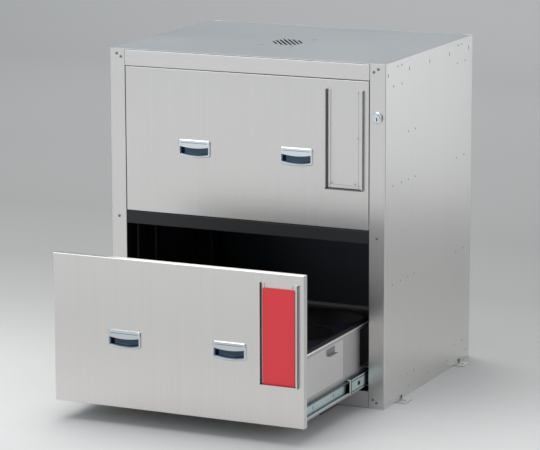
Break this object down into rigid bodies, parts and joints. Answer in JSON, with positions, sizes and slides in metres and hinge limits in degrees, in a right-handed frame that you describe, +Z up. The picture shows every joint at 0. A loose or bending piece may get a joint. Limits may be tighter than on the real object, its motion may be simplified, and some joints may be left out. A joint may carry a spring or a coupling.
{
  "type": "reagent drawer cabinet",
  "caption": "Free-standing stainless steel cabinet with deep drawers on ball-bearing slides that hold reagent bottles upright in a rack, locked together by a side bar.",
  "frame": {"origin": "centre of the footprint and of the floor bolt pattern, on the floor", "axes": "+X to the cabinet's right seen from the front, +Y to its back, +Z up; the drawers open along -Y"},
  "size_m": [0.754, 0.921, 0.802],
  "materials": {
    "casing_steel": "hairline-brushed stainless sheet, upright grain",
    "front_steel": "hairline-brushed stainless sheet, upright grain",
    "tray_steel": "plain stainless sheet",
    "frame_steel": "dull galvanised sheet inside the casing",
    "slide_zinc": "bright blue-passivated zinc plate",
    "black_steel": "satin black powder coat",
    "black_plastic": "matt black moulding",
    "handle_chrome": "polished chrome plate, dark inside the pocket",
    "lock_chrome": "satin nickel plate",
    "fastener_steel": "stainless heads",
    "card_red": "smooth plain red card"
  },
  "bodies": {
    "root": {"left_side_panel": "casing_steel", "right_side_panel": "casing_steel", "top_panel": "casing_steel", "rear_panel": "casing_steel", "base_panel": "casing_steel", "bottom_rail": "casing_steel", "top_rail": "casing_steel", "floor_brackets": "casing_steel", "rail_cleats": "frame_steel", "front_uprights": "frame_steel", "middle_uprights": "frame_steel", "rear_uprights": "frame_steel", "vent_deflector": "frame_steel", "post_screws": "fastener_steel", "panel_screws": "fastener_steel", "left_side_rivets": "fastener_steel", "right_side_rivets": "fastener_steel", "lock_barrel": "lock_chrome", "lock_nut": "lock_chrome", "lock_bar_pins": "fastener_steel", "middle_rail": "black_steel", "lower_left_outer_slide": "slide_zinc", "lower_right_outer_slide": "slide_zinc", "upper_left_outer_slide": "slide_zinc", "upper_right_outer_slide": "slide_zinc"},
    "lower_drawer": {"lower_front": "front_steel", "lower_front_liner": "front_steel", "lower_handles": "handle_chrome", "lower_card_holder": "front_steel", "lower_tray": "tray_steel", "lower_bottle_rack": "black_steel", "lower_side_stiffeners": "tray_steel", "lower_lock_strike": "frame_steel", "lower_guide_pads": "black_plastic", "lower_left_inner_slide": "slide_zinc", "lower_right_inner_slide": "slide_zinc", "sign_card": "card_red"},
    "lower_middle_slides": {"lower_left_middle_slide": "slide_zinc", "lower_right_middle_slide": "slide_zinc", "lower_slide_buffers": "black_plastic"},
    "lower_outer_cages": {"lower_outer_ball_cages": "slide_zinc"},
    "lower_inner_cages": {"lower_inner_ball_cages": "slide_zinc"},
    "upper_drawer": {"upper_front": "front_steel", "upper_front_liner": "front_steel", "upper_handles": "handle_chrome", "upper_card_holder": "front_steel", "upper_tray": "tray_steel", "upper_bottle_rack": "black_steel", "upper_side_stiffeners": "tray_steel", "upper_lock_strike": "frame_steel", "upper_guide_pads": "black_plastic", "upper_left_inner_slide": "slide_zinc", "upper_right_inner_slide": "slide_zinc"},
    "upper_middle_slides": {"upper_left_middle_slide": "slide_zinc", "upper_right_middle_slide": "slide_zinc", "upper_slide_buffers": "black_plastic"},
    "upper_outer_cages": {"upper_outer_ball_cages": "slide_zinc"},
    "upper_inner_cages": {"upper_inner_ball_cages": "slide_zinc"},
    "lock_plug": {"lock_plug": "lock_chrome"},
    "lock_bar": {"lock_bar": "frame_steel"}
  },
  "joints": [
    {"name": "lower_drawer_slide", "type": "slide", "parent": "root", "child": "lower_drawer", "axis": [0, -1, 0], "range_m": [-0.361, 0.069]},
    {"name": "lower_middle_slide_travel", "type": "slide", "parent": "root", "child": "lower_middle_slides", "axis": [0, -1, 0], "range_m": [-0.1805, 0.0345]},
    {"name": "lower_outer_cage_travel", "type": "slide", "parent": "root", "child": "lower_outer_cages", "axis": [0, -1, 0], "range_m": [-0.09025, 0.01725]},
    {"name": "lower_inner_cage_travel", "type": "slide", "parent": "root", "child": "lower_inner_cages", "axis": [0, -1, 0], "range_m": [-0.27075, 0.05175]},
    {"name": "upper_drawer_slide", "type": "slide", "parent": "root", "child": "upper_drawer", "axis": [0, -1, 0], "range_m": [0, 0.43]},
    {"name": "upper_middle_slide_travel", "type": "slide", "parent": "root", "child": "upper_middle_slides", "axis": [0, -1, 0], "range_m": [0, 0.215]},
    {"name": "upper_outer_cage_travel", "type": "slide", "parent": "root", "child": "upper_outer_cages", "axis": [0, -1, 0], "range_m": [0, 0.1075]},
    {"name": "upper_inner_cage_travel", "type": "slide", "parent": "root", "child": "upper_inner_cages", "axis": [0, -1, 0], "range_m": [0, 0.3225]},
    {"name": "lock_turn", "type": "hinge", "parent": "root", "child": "lock_plug", "pos_m": [0.33, -0.275, 0.6775], "axis": [0, 1, 0], "range_deg": [0, 90]},
    {"name": "lock_bar_lift", "type": "slide", "parent": "root", "child": "lock_bar", "axis": [0, 0, 1], "range_m": [0, 0.017]}
  ],
  "couplings": [
    {"joint": "lower_middle_slide_travel", "follows": "lower_drawer_slide", "ratio": 0.5},
    {"joint": "lower_outer_cage_travel", "follows": "lower_drawer_slide", "ratio": 0.25},
    {"joint": "lower_inner_cage_travel", "follows": "lower_drawer_slide", "ratio": 0.75},
    {"joint": "upper_middle_slide_travel", "follows": "upper_drawer_slide", "ratio": 0.5},
    {"joint": "upper_outer_cage_travel", "follows": "upper_drawer_slide", "ratio": 0.25},
    {"joint": "upper_inner_cage_travel", "follows": "upper_drawer_slide", "ratio": 0.75},
    {"joint": "lock_turn", "follows": "lock_bar_lift", "rad_per_m": 92.3}
  ]
}
